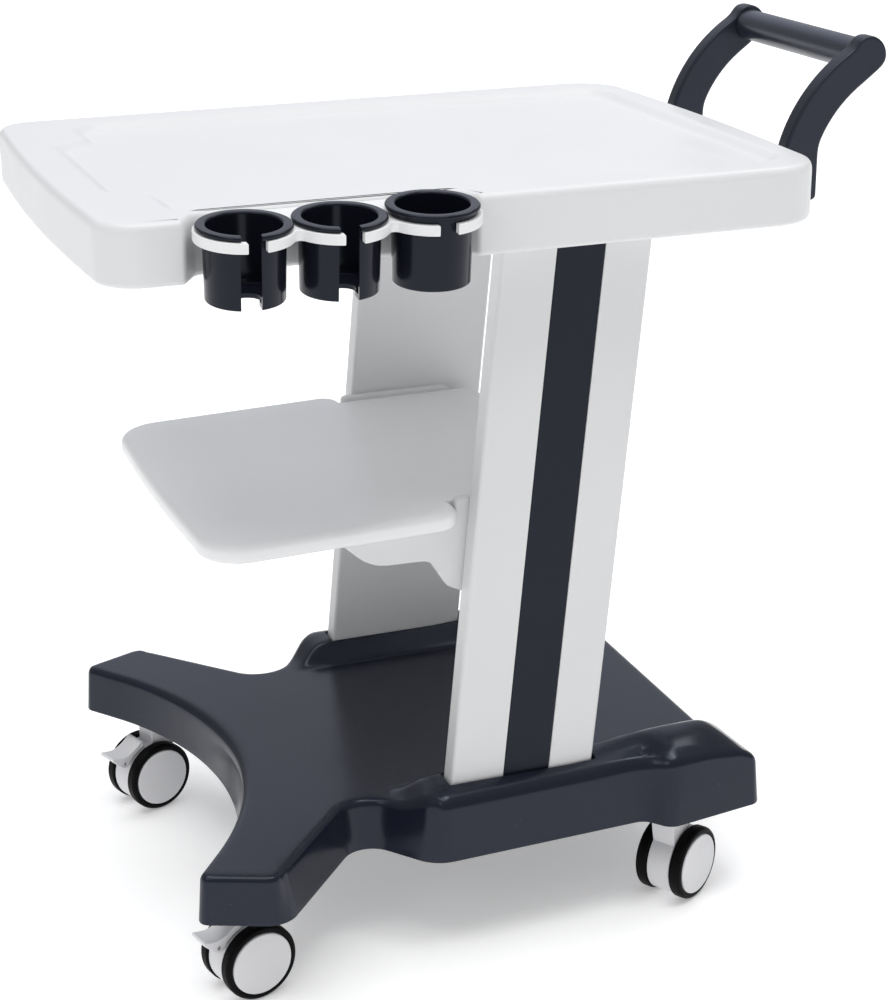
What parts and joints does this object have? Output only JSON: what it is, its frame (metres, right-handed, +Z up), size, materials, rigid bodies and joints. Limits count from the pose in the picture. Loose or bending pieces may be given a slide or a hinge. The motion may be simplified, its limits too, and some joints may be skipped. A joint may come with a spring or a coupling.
{
  "type": "ultrasound trolley",
  "caption": "Wheeled ultrasound trolley with a recessed work tray, side probe cups, shelf, leaning uprights, push handle and swivel casters.",
  "frame": {"origin": "on the floor, at the centre of the whole trolley's footprint", "axes": "+Z up; -Y is the front, where the user stands; +Y is the push-handle end; +X is the side with the probe cups"},
  "size_m": [0.572, 0.793, 0.838],
  "materials": {
    "white_plastic": "satin gloss moulded plastic, cool white",
    "navy_plastic": "glossy moulded plastic, dark slate navy",
    "stripe": "satin dark navy trim strip",
    "tyre": "soft black wheel tread",
    "caster_plastic": "satin light grey nylon",
    "steel": "zinc-plated steel",
    "frame_steel": "powder-coated steel, dark grey"
  },
  "bodies": {
    "frame": {"base_cover": "navy_plastic", "base_plate": "frame_steel", "upright_right": "white_plastic", "stripe_right": "stripe", "column_right": "frame_steel", "upright_left": "white_plastic", "stripe_left": "stripe", "column_left": "frame_steel", "tray_top": "white_plastic", "tray_underplate": "white_plastic", "tray_beam_right": "frame_steel", "tray_beam_left": "frame_steel", "tray_crossbar_front": "frame_steel", "tray_crossbar_rear": "frame_steel", "shelf": "white_plastic", "gusset_right": "white_plastic", "gusset_left": "white_plastic", "handle_arm_right": "navy_plastic", "handle_arm_left": "navy_plastic", "handle_tube": "navy_plastic", "handle_tie_rod": "steel", "handle_bracket_right": "steel", "handle_bracket_left": "steel", "probe_bracket": "white_plastic", "caster_stem_front_right": "steel", "caster_stem_front_left": "steel", "caster_stem_rear_right": "steel", "caster_stem_rear_left": "steel"},
    "caster_front_right": {"caster_housing_front_right": "caster_plastic", "caster_axle_front_right": "steel", "brake_pin_front_right": "steel"},
    "wheel_front_right_a": {"tyre_front_right_a": "tyre", "hub_front_right_a": "caster_plastic"},
    "wheel_front_right_b": {"tyre_front_right_b": "tyre", "hub_front_right_b": "caster_plastic"},
    "pedal_front_right": {"brake_pedal_front_right": "caster_plastic"},
    "caster_front_left": {"caster_housing_front_left": "caster_plastic", "caster_axle_front_left": "steel", "brake_pin_front_left": "steel"},
    "wheel_front_left_a": {"tyre_front_left_a": "tyre", "hub_front_left_a": "caster_plastic"},
    "wheel_front_left_b": {"tyre_front_left_b": "tyre", "hub_front_left_b": "caster_plastic"},
    "pedal_front_left": {"brake_pedal_front_left": "caster_plastic"},
    "caster_rear_right": {"caster_housing_rear_right": "caster_plastic", "caster_axle_rear_right": "steel"},
    "wheel_rear_right_a": {"tyre_rear_right_a": "tyre", "hub_rear_right_a": "caster_plastic"},
    "wheel_rear_right_b": {"tyre_rear_right_b": "tyre", "hub_rear_right_b": "caster_plastic"},
    "caster_rear_left": {"caster_housing_rear_left": "caster_plastic", "caster_axle_rear_left": "steel"},
    "wheel_rear_left_a": {"tyre_rear_left_a": "tyre", "hub_rear_left_a": "caster_plastic"},
    "wheel_rear_left_b": {"tyre_rear_left_b": "tyre", "hub_rear_left_b": "caster_plastic"},
    "cup_front": {"probe_cup_front": "navy_plastic"},
    "cup_middle": {"probe_cup_middle": "navy_plastic"},
    "cup_rear": {"probe_cup_rear": "navy_plastic"}
  },
  "joints": [
    {"name": "swivel_front_right", "type": "hinge", "parent": "frame", "child": "caster_front_right", "pos_m": [0.18293, -0.2691, 0.09], "axis": [0, 0, 1], "continuous": true},
    {"name": "wheel_spin_front_right_a", "type": "hinge", "parent": "caster_front_right", "child": "wheel_front_right_a", "pos_m": [0.18641, -0.28266, 0.0375], "axis": [0.9686, 0.2487, 0], "continuous": true},
    {"name": "wheel_spin_front_right_b", "type": "hinge", "parent": "caster_front_right", "child": "wheel_front_right_b", "pos_m": [0.18641, -0.28266, 0.0375], "axis": [0.9686, 0.2487, 0], "continuous": true},
    {"name": "brake_front_right", "type": "hinge", "parent": "caster_front_right", "child": "pedal_front_right", "pos_m": [0.19561, -0.3185, 0.0605], "axis": [0.9686, 0.2487, 0], "range_deg": [0, 14]},
    {"name": "swivel_front_left", "type": "hinge", "parent": "frame", "child": "caster_front_left", "pos_m": [-0.21627, -0.2691, 0.09], "axis": [0, 0, 1], "continuous": true},
    {"name": "wheel_spin_front_left_a", "type": "hinge", "parent": "caster_front_left", "child": "wheel_front_left_a", "pos_m": [-0.21139, -0.28223, 0.0375], "axis": [0.9373, 0.3486, 0], "continuous": true},
    {"name": "wheel_spin_front_left_b", "type": "hinge", "parent": "caster_front_left", "child": "wheel_front_left_b", "pos_m": [-0.21139, -0.28223, 0.0375], "axis": [0.9373, 0.3486, 0], "continuous": true},
    {"name": "brake_front_left", "type": "hinge", "parent": "caster_front_left", "child": "pedal_front_left", "pos_m": [-0.1985, -0.3169, 0.0605], "axis": [0.9373, 0.3486, 0], "range_deg": [0, 14]},
    {"name": "swivel_rear_right", "type": "hinge", "parent": "frame", "child": "caster_rear_right", "pos_m": [0.17883, 0.1578, 0.09], "axis": [0, 0, 1], "continuous": true},
    {"name": "wheel_spin_rear_right_a", "type": "hinge", "parent": "caster_rear_right", "child": "wheel_rear_right_a", "pos_m": [0.17132, 0.16962, 0.0375], "axis": [-0.8443, -0.5358, 0], "continuous": true},
    {"name": "wheel_spin_rear_right_b", "type": "hinge", "parent": "caster_rear_right", "child": "wheel_rear_right_b", "pos_m": [0.17132, 0.16962, 0.0375], "axis": [-0.8443, -0.5358, 0], "continuous": true},
    {"name": "swivel_rear_left", "type": "hinge", "parent": "frame", "child": "caster_rear_left", "pos_m": [-0.21217, 0.1578, 0.09], "axis": [0, 0, 1], "continuous": true},
    {"name": "wheel_spin_rear_left_a", "type": "hinge", "parent": "caster_rear_left", "child": "wheel_rear_left_a", "pos_m": [-0.20626, 0.17048, 0.0375], "axis": [-0.9063, 0.4226, 0], "continuous": true},
    {"name": "wheel_spin_rear_left_b", "type": "hinge", "parent": "caster_rear_left", "child": "wheel_rear_left_b", "pos_m": [-0.20626, 0.17048, 0.0375], "axis": [-0.9063, 0.4226, 0], "continuous": true},
    {"name": "cup_lift_front", "type": "slide", "parent": "frame", "child": "cup_front", "axis": [0.0785, 0, 0.9969], "range_m": [0, 0.12]},
    {"name": "cup_lift_middle", "type": "slide", "parent": "frame", "child": "cup_middle", "axis": [0.0785, 0, 0.9969], "range_m": [0, 0.12]},
    {"name": "cup_lift_rear", "type": "slide", "parent": "frame", "child": "cup_rear", "axis": [0.0785, 0, 0.9969], "range_m": [0, 0.12]}
  ]
}
